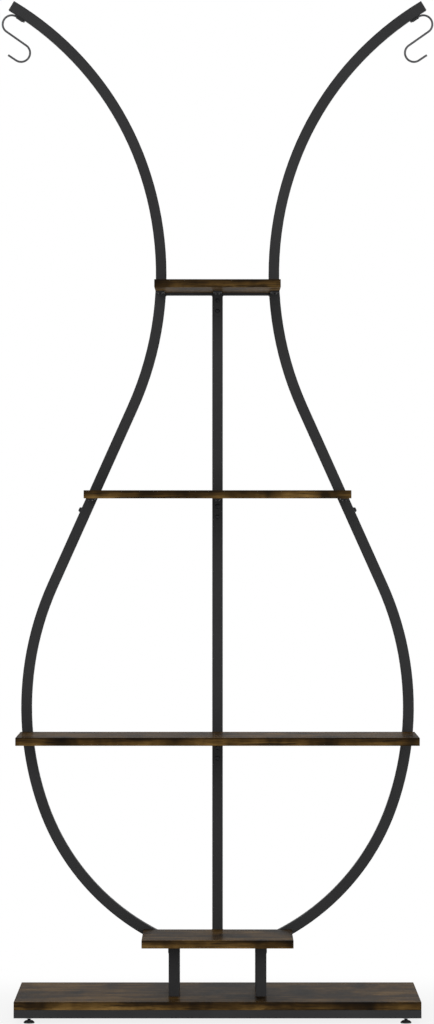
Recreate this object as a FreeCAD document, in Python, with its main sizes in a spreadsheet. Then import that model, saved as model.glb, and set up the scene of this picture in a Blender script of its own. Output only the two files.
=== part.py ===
import FreeCAD, Part
import math
import os
from types import SimpleNamespace

import Sketcher
from FreeCAD import Placement, Rotation, Vector

# Tiered plant stand: two bent square tubes draw the outline of a vase round a centre post.
# Shelf boards hang on the front of that frame, and a wide base board stands on levelling feet.
# Millimetres, +Z up, front towards -Y. The origin is on the floor under the middle of the base.

DRIVING_SIZES = {
    # Boards: a hung shelf reaches past the axis of the side tubes by its overhang
    "board_thickness": 15,
    "board_edge_radius": 1,
    "base_width": 750,
    "base_depth": 300,
    "shelf_depth": 190,
    "lower_shelf_width": 280,
    "lower_shelf_top": 152.5,
    "belly_shelf_overhang": 14.9,
    "belly_shelf_top": 525.5,
    "mid_shelf_overhang": 8.4,
    "mid_shelf_top": 981,
    "neck_shelf_overhang": 9,
    "neck_shelf_top": 1369.5,
    # Square tube of the frame and the pedestal
    "tube_size": 20,
    "tube_wall": 1.2,
    "tube_corner": 2,
    "bore_corner": 0.8,
    "post_half_spacing": 81,
    "post_half_pitch": 57,
    "bottom_bar_drop": 2.5,
    # Side tube's axis from the bottom crossbar up: lower arc, belly arc, straight, neck arc and flare.
    # Angles are in degrees: the first three from upright, the last two from the neck's narrowest point.
    "foot_half": 114.6,
    "foot_slope": 63.2,
    "lower_radius": 435,
    "lower_bend": 19.5,
    "belly_radius": 563,
    "straight_slope": 24.2,
    "straight_length": 368.3,
    "neck_radius": 613.7,
    "flare_angle": 20,
    "flare_radius": 577,
    "tip_angle": 58.85,
    # Joints in the side tubes and the centre post
    "side_seam_drop": 38.5,
    "sleeve_length": 80,
    "sleeve_wall": 2.5,
    "slip_clearance": 0.1,
    "joint_bolt_setback": 14,
    "cap_head": 2.5,
    "cap_plug_length": 10,
    "cap_clearance": 0.3,
    # Base frame
    "base_clearance": 10,
    "rail_width": 25,
    "rail_height": 15,
    "rail_wall": 1.5,
    "base_screw_setback": 47,
    # Levelling feet
    "foot_inset": 28,
    "foot_radius": 10,
    "foot_height": 5,
    "foot_rim": 2.2,
    "socket_floor": 2,
    "socket_wall": 2.4,
    "stud_radius": 4,
    "stud_flat_depth": 1,
    "stud_flat_height": 3,
    "stud_clearance": 0.05,
    "stud_room": 11,
    "insert_wall": 1.5,
    "insert_length": 9,
    "insert_ledge": 2,
    "insert_flange": 1.2,
    # Shelf brackets: a tab on a side tube is a bracket's arm without its leg
    "plate_thickness": 2.5,
    "arm_width": 16,
    "arm_reach": 70,
    "arm_near_hole": 25,
    "arm_end_inset": 15,
    "bracket_drop": 45,
    "bracket_upper_hole": 15,
    "bracket_foot_inset": 10,
    # Fasteners
    "screw_radius": 2,
    "screw_head_radius": 4,
    "screw_head_height": 2.4,
    "low_head_height": 1.2,
    "screw_bite": 10,
    "post_screw_length": 9,
    "shelf_rail_screw_half": 25,
    "bolt_radius": 3,
    "bolt_head_radius": 4.8,
    "bolt_head_height": 4,
    "joint_bolt_length": 9,
    "nut_plate_thickness": 8,
    "hole_clearance": 0.2,
    "thread_clearance": 0.05,
    # S-hooks and the saddles that hold them
    "hook_wire": 4,
    "hook_loop_radius": 17,
    "hook_diagonal": 45.6,
    "hook_lean": 18.2,
    "hook_tail": 18,
    "hook_clearance": 0.3,
    "hook_play": 0.5,
    "saddle_setback": 24.3,
    "saddle_length": 14,
    "saddle_wall": 0.8,
}

X_AXIS = Vector(1, 0, 0)
Y_AXIS = Vector(0, 1, 0)
Z_AXIS = Vector(0, 0, 1)
ORIGIN_POINT = (-1, 1)
OVERCUT = 1.0
UPRIGHT = Rotation()
ALONG_X = Rotation(Y_AXIS, Z_AXIS, X_AXIS, "ZXY")
ALONG_Y = Rotation(-X_AXIS, Z_AXIS, Y_AXIS, "ZXY")


class Size:
    """A size that carries its number and the spreadsheet formula that gives it."""

    def __init__(self, number, formula):
        self.number = number
        self.formula = formula

    def _with(self, other, sign, number):
        return Size(number, f"({self.formula} {sign} {formula_of(other)})")

    def __add__(self, other):
        return self._with(other, "+", self.number + plain(other))

    def __sub__(self, other):
        return self._with(other, "-", self.number - plain(other))

    def __mul__(self, other):
        return self._with(other, "*", self.number * plain(other))

    def __truediv__(self, other):
        return self._with(other, "/", self.number / plain(other))

    def __radd__(self, other):
        return self + other

    def __rsub__(self, other):
        return -self + other

    def __rtruediv__(self, other):
        return Size(other / self.number, f"({formula_of(other)} / {self.formula})")

    def __neg__(self):
        return self * -1.0


def plain(size):
    """Return the number of a size, bound or not."""
    return size.number if isinstance(size, Size) else float(size)


def formula_of(size):
    """Return the formula text of a size, bound or not."""
    return size.formula if isinstance(size, Size) else f"({float(size)})"


doc = FreeCAD.newDocument("PlantStand")
sheet = doc.addObject("Spreadsheet::Sheet", "Sizes")
for row, (alias, value) in enumerate(DRIVING_SIZES.items(), start=1):
    sheet.set(f"A{row}", alias)
    sheet.set(f"B{row}", str(value))
    sheet.setAlias(f"B{row}", alias)
doc.recompute()
S = SimpleNamespace(**{alias: Size(float(sheet.get(alias)), f"Sizes.{alias}") for alias in DRIVING_SIZES})
nodes = {}


# Binding, sketching and feature helpers

def bind(thing, prop, size):
    """Set a property, and bind it to the spreadsheet where the size comes from there."""
    setattr(thing, prop, plain(size))
    if isinstance(size, Size):
        thing.setExpression(prop, size.formula)


def place(thing, x, y, z, rotation=UPRIGHT):
    """Put an object at a point, bound to the spreadsheet where the sizes come from there."""
    thing.Placement = Placement(Vector(plain(x), plain(y), plain(z)), rotation)
    for letter, size in (("x", x), ("y", y), ("z", z)):
        if isinstance(size, Size):
            thing.setExpression(f"Placement.Base.{letter}", size.formula)


def keep(thing, label):
    """Register a finished sub-part under the name of its file."""
    thing.Label = label
    nodes[label] = thing
    return thing


def new_body(name):
    return doc.addObject("PartDesign::Body", name)


def new_sketch(body, role, lift=0.0):
    """Add a sketch on one of the body's own origin planes, lifted along its normal."""
    sketch = body.newObject("Sketcher::SketchObject", f"{body.Name}_sketch")
    support = next(feature for feature in body.Origin.OriginFeatures if feature.Role == role)
    sketch.AttachmentSupport = (support, "")
    sketch.MapMode = "FlatFace"
    sketch.AttachmentOffset = Placement(Vector(0, 0, plain(lift)), UPRIGHT)
    if isinstance(lift, Size):
        sketch.setExpression("AttachmentOffset.Base.z", lift.formula)
    return sketch


def constrain(sketch, kind, *terms):
    return sketch.addConstraint(Sketcher.Constraint(kind, *terms))


def dimension(sketch, kind, *terms):
    """Add a driving dimension whose last term is its size."""
    size = terms[-1]
    index = constrain(sketch, kind, *terms[:-1], plain(size))
    if isinstance(size, Size):
        sketch.setExpression(f"Constraints[{index}]", size.formula)


def locate(sketch, item, point, x, y):
    """Dimension a point of a sketch from the sketch's origin."""
    # In a sketch -2 is the vertical axis and -1 the horizontal one.
    for kind, axis, size in (("DistanceX", -2, x), ("DistanceY", -1, y)):
        if plain(size) == 0:
            constrain(sketch, "PointOnObject", item, point, axis)
        elif plain(size) > 0:
            dimension(sketch, kind, *ORIGIN_POINT, item, point, size)
        else:
            dimension(sketch, kind, item, point, *ORIGIN_POINT, size * -1.0)


def polygon(sketch, corners):
    """Draw a closed outline of straight lines with every corner dimensioned."""
    points = [Vector(plain(x), plain(y)) for x, y in corners]
    lines = []
    for start, end in zip(points, points[1:] + points[:1]):
        lines.append(sketch.addGeometry(Part.LineSegment(start, end), False))
    for i, (x, y) in enumerate(corners):
        constrain(sketch, "Coincident", lines[i - 1], 2, lines[i], 1)
        locate(sketch, lines[i], 1, x, y)


def rectangle(sketch, width, height):
    """Draw a rectangle round the sketch's origin."""
    x, y = width / 2, height / 2
    polygon(sketch, [(-x, -y), (x, -y), (x, y), (-x, y)])


def circles(sketch, centres, radius):
    """Draw equal circles at the given points."""
    for x, y in centres:
        item = sketch.addGeometry(Part.Circle(Vector(plain(x), plain(y)), Z_AXIS, plain(radius)), False)
        locate(sketch, item, 3, x, y)
        dimension(sketch, "Radius", item, radius)


def rounded_square(sketch, side, corner):
    """Draw a square with rounded corners round the sketch's origin."""
    half, radius = plain(side) / 2, plain(corner)
    items = []
    for quarter in range(4):
        turn = Rotation(Z_AXIS, 90 * quarter)
        start = turn.multVec(Vector(radius - half, -half))
        end = turn.multVec(Vector(half - radius, -half))
        centre = turn.multVec(Vector(half - radius, radius - half))
        first_angle = math.radians(90 * (quarter - 1))
        arc = Part.ArcOfCircle(Part.Circle(centre, Z_AXIS, radius), first_angle, first_angle + math.pi / 2)
        items.append(sketch.addGeometry(Part.LineSegment(start, end), False))
        items.append(sketch.addGeometry(arc, False))
    for i, item in enumerate(items):
        constrain(sketch, "Tangent", items[i - 1], 2, item, 1)
    for quarter in range(4):
        constrain(sketch, "Vertical" if quarter % 2 else "Horizontal", items[2 * quarter])
    for quarter in range(3):
        constrain(sketch, "Equal", items[2 * quarter + 1], items[2 * quarter + 3])
    constrain(sketch, "Symmetric", items[1], 3, items[5], 3, *ORIGIN_POINT)
    dimension(sketch, "Radius", items[1], corner)
    dimension(sketch, "DistanceX", items[6], 1, items[2], 1, side)
    dimension(sketch, "DistanceY", items[0], 1, items[4], 2, side)


def trace(sketch, steps):
    """Draw a path of tangent runs and bends from the sketch's origin, setting out upwards.

    A run is (length,). A bend is (radius, turn), where a turn in degrees is positive to the left.
    """
    point, heading = Vector(), math.radians(90)
    last = None
    for step in steps:
        ahead = Vector(math.cos(heading), math.sin(heading))
        if len(step) == 1:
            end = point + ahead * plain(step[0])
            item = sketch.addGeometry(Part.LineSegment(point, end), False)
            dimension(sketch, "Distance", item, step[0])
            first, final = 1, 2
        else:
            radius, turn = plain(step[0]), math.radians(step[1])
            to_centre = Vector(-ahead.y, ahead.x) * math.copysign(radius, turn)
            centre = point + to_centre
            start = math.atan2(-to_centre.y, -to_centre.x)
            circle = Part.Circle(centre, Z_AXIS, radius)
            item = sketch.addGeometry(Part.ArcOfCircle(circle, *sorted((start, start + turn))), False)
            dimension(sketch, "Radius", item, step[0])
            dimension(sketch, "Angle", item, abs(turn))
            end = centre + Vector(math.cos(start + turn), math.sin(start + turn)) * radius
            first, final = (1, 2) if turn > 0 else (2, 1)
            heading += turn
        if last is None:
            constrain(sketch, "Coincident", item, first, *ORIGIN_POINT)
            constrain(sketch, "Vertical", item)
        else:
            constrain(sketch, "Tangent", *last, item, first)
        last = (item, final)
        point = end


def pad(body, sketch, length, both_ways=False):
    feature = body.newObject("PartDesign::Pad", f"{body.Name}_pad")
    feature.Profile = sketch
    bind(feature, "Length", length)
    if both_ways:
        feature.SideType = "Symmetric"
    return feature


def cut(body, sketch, depth=None, forward=False):
    """Cut a sketch through the body both ways, or to a depth, and make sure that it removed material."""
    doc.recompute()
    volume = body.Shape.Volume
    feature = body.newObject("PartDesign::Pocket", f"{body.Name}_cut")
    feature.Profile = sketch
    if depth is None:
        feature.Type = "ThroughAll"
        feature.SideType = "Symmetric"
    else:
        bind(feature, "Length", depth)
        feature.Reversed = forward
    doc.recompute()
    if not body.Shape.Volume < volume:
        raise RuntimeError(f"a cut in {body.Name} removed nothing")


def drill(body, role, centres, radius, depth=None, forward=False):
    """Cut equal round holes square to one of the body's planes."""
    sketch = new_sketch(body, role)
    circles(sketch, centres, radius)
    cut(body, sketch, depth, forward)


def revolve(body, corners):
    """Turn a half outline, given as (radius, height) corners, about the body's Z axis."""
    sketch = new_sketch(body, "XZ_Plane")
    polygon(sketch, corners)
    feature = body.newObject("PartDesign::Revolution", f"{body.Name}_turned")
    feature.Profile = sketch
    feature.ReferenceAxis = (sketch, ["V_Axis"])
    feature.Angle = 360


def sweep(body, section, steps):
    """Sweep a section sketch along a traced path in the body's XZ plane."""
    path = new_sketch(body, "XZ_Plane")
    trace(path, steps)
    feature = body.newObject("PartDesign::AdditivePipe", f"{body.Name}_sweep")
    feature.Profile = section
    feature.Spine = path


def mirrored(source, label, normal=X_AXIS):
    """Keep the mirror image of a sub-part as a sub-part of its own."""
    copy = doc.addObject("Part::Mirroring", label)
    copy.Source = source
    copy.Normal = normal
    return keep(copy, label)


def group(label, source, places):
    """Keep copies of one fastener, one at each (x, y, z, rotation), as one node."""
    links = []
    for spot in places:
        link = doc.addObject("App::Link", f"{label}_copy")
        link.LinkedObject = source
        place(link, *spot)
        links.append(link)
    compound = doc.addObject("Part::Compound", label)
    compound.Links = links
    return keep(compound, label)


# Derived places

TUBE_HALF = S.tube_size / 2
FRAME_Y = S.post_half_pitch
FRAME_FRONT = FRAME_Y - TUBE_HALF
BASE_BOTTOM = S.base_clearance + S.rail_height
BASE_TOP = BASE_BOTTOM + S.board_thickness
SHELF_CENTRE_Y = FRAME_FRONT - S.shelf_depth / 2
RAIL_CENTRE_X = S.base_width / 2 - S.rail_width / 2
RAIL_CENTRE_Y = S.base_depth / 2 - S.rail_width / 2
FOOT_X = S.base_width / 2 - S.foot_inset
FOOT_Y = RAIL_CENTRE_Y
LOWER_SHELF_BOTTOM = S.lower_shelf_top - S.board_thickness
BELLY_SHELF_BOTTOM = S.belly_shelf_top - S.board_thickness
MID_SHELF_BOTTOM = S.mid_shelf_top - S.board_thickness
NECK_SHELF_BOTTOM = S.neck_shelf_top - S.board_thickness
BRACKET_LOWER_HOLE = S.bracket_drop - S.bracket_foot_inset
ARM_HOLES = [S.arm_near_hole, S.arm_reach - S.arm_end_inset]
BOTTOM_BAR_Z = S.lower_shelf_top - S.bottom_bar_drop - TUBE_HALF
NECK_BAR_Z = S.neck_shelf_top - TUBE_HALF
POST_SEAM = MID_SHELF_BOTTOM - (S.bracket_upper_hole + BRACKET_LOWER_HOLE) / 2
POST_TOP = NECK_BAR_Z - TUBE_HALF
POST_FOOT = BOTTOM_BAR_Z + TUBE_HALF
TUBE_BORE = S.tube_size - S.tube_wall * 2
INNER_SIDE = TUBE_BORE - S.slip_clearance * 2
INNER_CORNER = S.bore_corner + S.slip_clearance
SCREW_HOLE = S.screw_radius + S.hole_clearance
SCREW_PILOT = S.screw_radius + S.thread_clearance
BOLT_HOLE = S.bolt_radius + S.hole_clearance
BOLT_THREAD = S.bolt_radius + S.thread_clearance
PILOT_DEPTH = S.screw_bite + OVERCUT
STUD_BORE = S.stud_radius + S.stud_clearance
INSERT_RADIUS = STUD_BORE + S.insert_wall
INSERT_HOLE = INSERT_RADIUS + S.thread_clearance
SADDLE_BORE = S.hook_wire / 2 + S.hook_clearance
BASE_SCREW_X = [(FOOT_X - S.base_screw_setback) * share for share in (-1, -1 / 3, 1 / 3, 1)]
CORNERS = [("front_right", 1, -1), ("front_left", -1, -1), ("rear_right", 1, 1), ("rear_left", -1, 1)]


class SideLine:
    """Axis of the right side tube in the frame's plane, followed up from the bottom crossbar."""

    def __init__(self):
        self.foot_slope = math.radians(S.foot_slope.number)
        self.bend = math.radians(S.lower_bend.number)
        self.slope = math.radians(S.straight_slope.number)
        self.flare_slope = math.radians(S.flare_angle.number)
        self.tip_slope = math.radians(S.tip_angle.number)
        self.lower_radius = S.lower_radius.number
        self.belly_radius = S.belly_radius.number
        self.neck_radius = S.neck_radius.number
        self.flare_radius = S.flare_radius.number
        # Each arc's centre lies square to the line at the arc's end.
        at_foot = Vector(math.cos(self.foot_slope), 0, -math.sin(self.foot_slope))
        at_bend = Vector(math.cos(self.bend), 0, -math.sin(self.bend))
        self.outward = Vector(math.cos(self.slope), 0, math.sin(self.slope))
        self.upward = Vector(-math.sin(self.slope), 0, math.cos(self.slope))
        foot = Vector(S.foot_half.number, 0, BOTTOM_BAR_Z.number)
        self.lower = foot - at_foot * self.lower_radius
        self.belly_end = self.lower + at_bend * self.lower_radius
        self.belly = self.belly_end - at_bend * self.belly_radius
        self.belly_start = self.belly + self.outward * self.belly_radius
        # The seam lies on the straight, a fixed drop below the mid shelf.
        seam_rise = (MID_SHELF_BOTTOM - S.side_seam_drop).number - self.belly_start.z
        self.seam = self.belly_start + self.upward * (seam_rise / self.upward.z)
        self.neck_end = self.belly_start + self.upward * S.straight_length.number
        self.neck = self.neck_end + self.outward * self.neck_radius
        at_flare = Vector(-math.cos(self.flare_slope), 0, math.sin(self.flare_slope))
        self.flare = self.neck + at_flare * (self.neck_radius - self.flare_radius)

    def flare_point(self, slope, radius):
        """Return the point at a slope from the neck, at a radius about the flare's centre."""
        return self.flare + Vector(-math.cos(slope), 0, math.sin(slope)) * radius

    def half_at(self, height, beside=0.0):
        """Return how far from the middle the axis, or a line beside it on the outside, is below the flare."""
        if height >= self.neck_end.z:
            return self.neck.x - math.sqrt((self.neck_radius - beside) ** 2 - (height - self.neck.z) ** 2)
        if height >= self.belly_start.z:
            return self.seam.x + (self.seam.z - height) * math.tan(self.slope) + beside / math.cos(self.slope)
        if height >= self.belly_end.z:
            return self.belly.x + math.sqrt((self.belly_radius + beside) ** 2 - (height - self.belly.z) ** 2)
        return self.lower.x + math.sqrt((self.lower_radius + beside) ** 2 - (height - self.lower.z) ** 2)


side = SideLine()


# Tubes of the frame

def tube_section(body):
    """Draw the section of the frame's square tube on the body's XY plane."""
    sketch = new_sketch(body, "XY_Plane")
    rounded_square(sketch, S.tube_size, S.tube_corner)
    rounded_square(sketch, TUBE_BORE, S.bore_corner)
    return sketch


def straight_tube(label, length, both_ways=False):
    """Make a length of the frame's square tube along the body's Z axis."""
    body = new_body(label)
    pad(body, tube_section(body), length, both_ways)
    return keep(body, label)


def joint_sleeve(label, wall_role, centres, radius):
    """Make the inner sleeve of a tube joint, with holes through the wall that faces the plane's normal."""
    body = new_body(label)
    sketch = new_sketch(body, "XY_Plane")
    rounded_square(sketch, INNER_SIDE, INNER_CORNER)
    rectangle(sketch, INNER_SIDE - S.sleeve_wall * 2, INNER_SIDE - S.sleeve_wall * 2)
    pad(body, sketch, S.sleeve_length, both_ways=True)
    drill(body, wall_role, centres, radius, depth=S.tube_size, forward=True)
    return keep(body, label)


def upper_side_tube():
    """Bend the upper tube from the seam up the straight, round the neck and out along the flare."""
    body = new_body("right_upper_tube")
    run = (side.neck_end - side.seam).Length
    neck_turn = math.degrees(side.slope + side.flare_slope)
    flare_turn = math.degrees(side.tip_slope - side.flare_slope)
    sweep(body, tube_section(body), [(run,), (S.neck_radius, -neck_turn), (S.flare_radius, -flare_turn)])
    drill(body, "YZ_Plane", [(0, S.joint_bolt_setback)], BOLT_HOLE, depth=S.tube_size, forward=True)
    place(body, side.seam.x, FRAME_Y, side.seam.z, Rotation(Z_AXIS, side.upward))
    mirrored(keep(body, "right_upper_tube"), "left_upper_tube")


def lower_side_tube():
    """Bend the lower tube from the seam down the straight and round the belly to the bottom crossbar."""
    body = new_body("right_lower_tube")
    run = (side.belly_start - side.seam).Length
    upper_turn = math.degrees(side.slope + side.bend)
    lower_turn = math.degrees(side.foot_slope - side.bend)
    sweep(body, tube_section(body), [(run,), (S.belly_radius, -upper_turn), (S.lower_radius, -lower_turn)])
    downward = Rotation(Y_AXIS, 180 - math.degrees(side.slope))
    place(body, side.seam.x, FRAME_Y, side.seam.z, downward)
    mirrored(keep(body, "right_lower_tube"), "left_lower_tube")


def side_joints():
    """Make the sleeves that join the side tubes, and the bolts that draw them against the outer walls."""
    sleeve = joint_sleeve("right_joint_sleeve", "YZ_Plane", [(0, S.joint_bolt_setback)], BOLT_THREAD)
    middle = side.seam + side.outward * S.slip_clearance.number
    place(sleeve, middle.x, FRAME_Y, middle.z, Rotation(Z_AXIS, side.upward))
    mirrored(sleeve, "left_joint_sleeve")
    seat = side.seam + side.upward * S.joint_bolt_setback.number + side.outward * TUBE_HALF.number
    bolt = fastener("joint_bolt", S.bolt_head_radius, S.bolt_head_height, S.bolt_radius, S.joint_bolt_length)
    inward = -side.outward
    spots = [
        (seat.x, FRAME_Y, seat.z, Rotation(Z_AXIS, inward)),
        (-seat.x, FRAME_Y, seat.z, Rotation(Z_AXIS, Vector(-inward.x, 0, inward.z))),
    ]
    group("side_joint_bolts", bolt, spots)


def tip_caps():
    """Make the plastic caps that close the tips of the side tubes."""
    body = new_body("right_tip_cap")
    head = new_sketch(body, "XY_Plane")
    rounded_square(head, S.tube_size, S.tube_corner)
    pad(body, head, S.cap_head)
    plug = new_sketch(body, "XY_Plane")
    rounded_square(plug, TUBE_BORE - S.cap_clearance * 2, S.bore_corner + S.cap_clearance)
    pad(body, plug, S.cap_plug_length).Reversed = True
    tip = side.flare_point(side.tip_slope, side.flare_radius)
    place(body, tip.x, FRAME_Y, tip.z, Rotation(Y_AXIS, math.degrees(side.tip_slope)))
    mirrored(keep(body, "right_tip_cap"), "left_tip_cap")


def centre_post():
    """Make the two lengths of the centre post and the sleeve that its screws draw against the front wall."""
    upper_holes = [
        NECK_SHELF_BOTTOM - S.bracket_upper_hole - POST_SEAM,
        NECK_SHELF_BOTTOM - BRACKET_LOWER_HOLE - POST_SEAM,
        MID_SHELF_BOTTOM - S.bracket_upper_hole - POST_SEAM,
    ]
    upper = straight_tube("upper_centre_post", POST_TOP - POST_SEAM)
    drill(upper, "XZ_Plane", [(0, z) for z in upper_holes], SCREW_HOLE, depth=S.tube_size, forward=True)
    place(upper, 0, FRAME_Y, POST_SEAM)
    lower_holes = [
        MID_SHELF_BOTTOM - BRACKET_LOWER_HOLE - POST_FOOT,
        BELLY_SHELF_BOTTOM - S.bracket_upper_hole - POST_FOOT,
        BELLY_SHELF_BOTTOM - BRACKET_LOWER_HOLE - POST_FOOT,
    ]
    lower = straight_tube("lower_centre_post", POST_SEAM - POST_FOOT)
    drill(lower, "XZ_Plane", [(0, z) for z in lower_holes], SCREW_HOLE, depth=S.tube_size, forward=True)
    place(lower, 0, FRAME_Y, POST_FOOT)
    from_seam = (BRACKET_LOWER_HOLE - S.bracket_upper_hole) / 2
    sleeve = joint_sleeve("post_joint_sleeve", "XZ_Plane", [(0, from_seam), (0, -from_seam)], SCREW_PILOT)
    place(sleeve, 0, FRAME_Y - S.slip_clearance, POST_SEAM)


def mitre(body, width, first_half, second_half):
    """Cut both ends of a bar on a slant, from one half-length at its -X edge to another at its +X edge."""
    lean = (first_half - second_half) / width * OVERCUT
    edge = width / 2 + OVERCUT
    first, second = first_half + lean, second_half - lean
    beyond = first_half + second_half
    sketch = new_sketch(body, "XZ_Plane")
    polygon(sketch, [(-edge, first), (edge, second), (edge, beyond), (-edge, beyond)])
    polygon(sketch, [(-edge, -first), (-edge, -beyond), (edge, -beyond), (edge, -second)])
    cut(body, sketch)


def crossbar(label, height, lower_half, upper_half):
    """Make a bar between the side tubes with the half-lengths of its lower and upper edges."""
    body = new_body(label)
    pad(body, tube_section(body), lower_half + upper_half, both_ways=True)
    mitre(body, S.tube_size, lower_half, upper_half)
    place(keep(body, label), 0, FRAME_Y, height, Rotation(Z_AXIS, -Y_AXIS, X_AXIS, "ZXY"))


def crossbars():
    """Make the neck bar, cut to the slant of the side tubes, and the bottom bar, cut square to their ends."""
    half, middle = TUBE_HALF.number, NECK_BAR_Z.number
    low, mid, high = (side.half_at(middle + rise, -half) for rise in (-half, 0, half))
    reach, lean = min(mid, (low + high) / 2), (low - high) / 2
    crossbar("neck_crossbar", NECK_BAR_Z, reach + lean, reach - lean)
    slant = TUBE_HALF / math.tan(side.foot_slope)
    crossbar("bottom_crossbar", BOTTOM_BAR_Z, S.foot_half + slant, S.foot_half - slant)


# Boards

def board(label, width, depth):
    """Make a board with rounded edges, its underside on the body's XY plane."""
    body = new_body(label)
    sketch = new_sketch(body, "XY_Plane")
    rectangle(sketch, width, depth)
    slab = pad(body, sketch, S.board_thickness)
    doc.recompute()
    rounding = body.newObject("PartDesign::Fillet", f"{label}_edges")
    rounding.Base = (slab, [f"Edge{i + 1}" for i in range(len(slab.Shape.Edges))])
    bind(rounding, "Radius", S.board_edge_radius)
    return keep(body, label)


def base_board():
    """Make the base board with its holes for bolts, studs and screws."""
    body = board("base_board", S.base_width, S.base_depth)
    bolts = [(S.post_half_spacing * sx, S.post_half_pitch * sy) for _, sx, sy in CORNERS]
    drill(body, "XY_Plane", bolts, BOLT_HOLE)
    studs = [(FOOT_X * sx, FOOT_Y * sy) for _, sx, sy in CORNERS]
    drill(body, "XY_Plane", studs, INSERT_HOLE, depth=S.stud_room, forward=True)
    screws = [(x, RAIL_CENTRE_Y * sy) for x in BASE_SCREW_X for sy in (-1, 1)]
    drill(body, "XY_Plane", screws, SCREW_PILOT, depth=PILOT_DEPTH, forward=True)
    place(body, 0, 0, BASE_BOTTOM)


def hung_shelf(name, overhang, bottom):
    """Make a shelf that hangs on the frame's front, its bracket and tabs, and return its screws' places."""
    tab_x = side.half_at(bottom.number - S.plate_thickness.number / 2)
    back = S.shelf_depth / 2
    pilots = [(x, back - hole) for x in (0, tab_x, -tab_x) for hole in ARM_HOLES]
    body = board(f"{name}_shelf", (overhang + tab_x) * 2, S.shelf_depth)
    drill(body, "XY_Plane", pilots, SCREW_PILOT, depth=PILOT_DEPTH, forward=True)
    place(body, 0, SHELF_CENTRE_Y, bottom)
    place(bracket(f"{name}_bracket"), 0, FRAME_FRONT, bottom)
    place(tab(f"{name}_right_tab"), tab_x, FRAME_FRONT, bottom)
    place(tab(f"{name}_left_tab"), -tab_x, FRAME_FRONT, bottom)
    seat = bottom - S.plate_thickness
    return [(x, SHELF_CENTRE_Y + y, seat) for x, y in pilots]


def bracket(label):
    """Make an L-bracket: its corner is the body's origin, one leg hangs down and one reaches forward."""
    body = new_body(label)
    thick = S.plate_thickness
    sketch = new_sketch(body, "YZ_Plane")
    corners = [(0, 0), (-S.arm_reach, 0), (-S.arm_reach, -thick), (-thick, -thick)]
    corners += [(-thick, -S.bracket_drop), (0, -S.bracket_drop)]
    polygon(sketch, corners)
    pad(body, sketch, S.arm_width, both_ways=True)
    drill(body, "XY_Plane", [(0, -hole) for hole in ARM_HOLES], SCREW_HOLE, depth=thick)
    leg_holes = [(0, -S.bracket_upper_hole), (0, -BRACKET_LOWER_HOLE)]
    drill(body, "XZ_Plane", leg_holes, SCREW_HOLE, depth=thick, forward=True)
    return keep(body, label)


def tab(label):
    """Make a flat tab that reaches forward from a side tube under a shelf."""
    body = new_body(label)
    x = S.arm_width / 2
    sketch = new_sketch(body, "XY_Plane")
    polygon(sketch, [(-x, 0), (-x, -S.arm_reach), (x, -S.arm_reach), (x, 0)])
    pad(body, sketch, S.plate_thickness).Reversed = True
    drill(body, "XY_Plane", [(0, -hole) for hole in ARM_HOLES], SCREW_HOLE, depth=S.plate_thickness)
    return keep(body, label)


def shelves():
    """Make all the shelves and the screws that hold the hung ones."""
    seats = hung_shelf("neck", S.neck_shelf_overhang, NECK_SHELF_BOTTOM)
    seats += hung_shelf("mid", S.mid_shelf_overhang, MID_SHELF_BOTTOM)
    seats += hung_shelf("belly", S.belly_shelf_overhang, BELLY_SHELF_BOTTOM)
    length = S.plate_thickness + S.screw_bite
    screw = fastener("shelf_screw", S.screw_head_radius, S.screw_head_height, S.screw_radius, length)
    group("shelf_screws", screw, seats)
    post_screw = fastener(
        "post_screw", S.screw_head_radius, S.screw_head_height, S.screw_radius, S.post_screw_length
    )
    into_post = Rotation(Z_AXIS, Y_AXIS)
    front = FRAME_FRONT - S.plate_thickness
    bottoms = (NECK_SHELF_BOTTOM, MID_SHELF_BOTTOM, BELLY_SHELF_BOTTOM)
    drops = (S.bracket_upper_hole, BRACKET_LOWER_HOLE)
    group("bracket_screws", post_screw, [(0, front, z - drop, into_post) for z in bottoms for drop in drops])
    lower = board("lower_shelf", S.lower_shelf_width, S.shelf_depth)
    rail_screws = [(S.post_half_spacing * sx, S.shelf_rail_screw_half * sy) for _, sx, sy in CORNERS]
    pilots = [(x, y - SHELF_CENTRE_Y) for x, y in rail_screws]
    drill(lower, "XY_Plane", pilots, SCREW_PILOT, depth=PILOT_DEPTH, forward=True)
    place(lower, 0, SHELF_CENTRE_Y, LOWER_SHELF_BOTTOM)


# Pedestal between the base and the lower shelf

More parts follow.
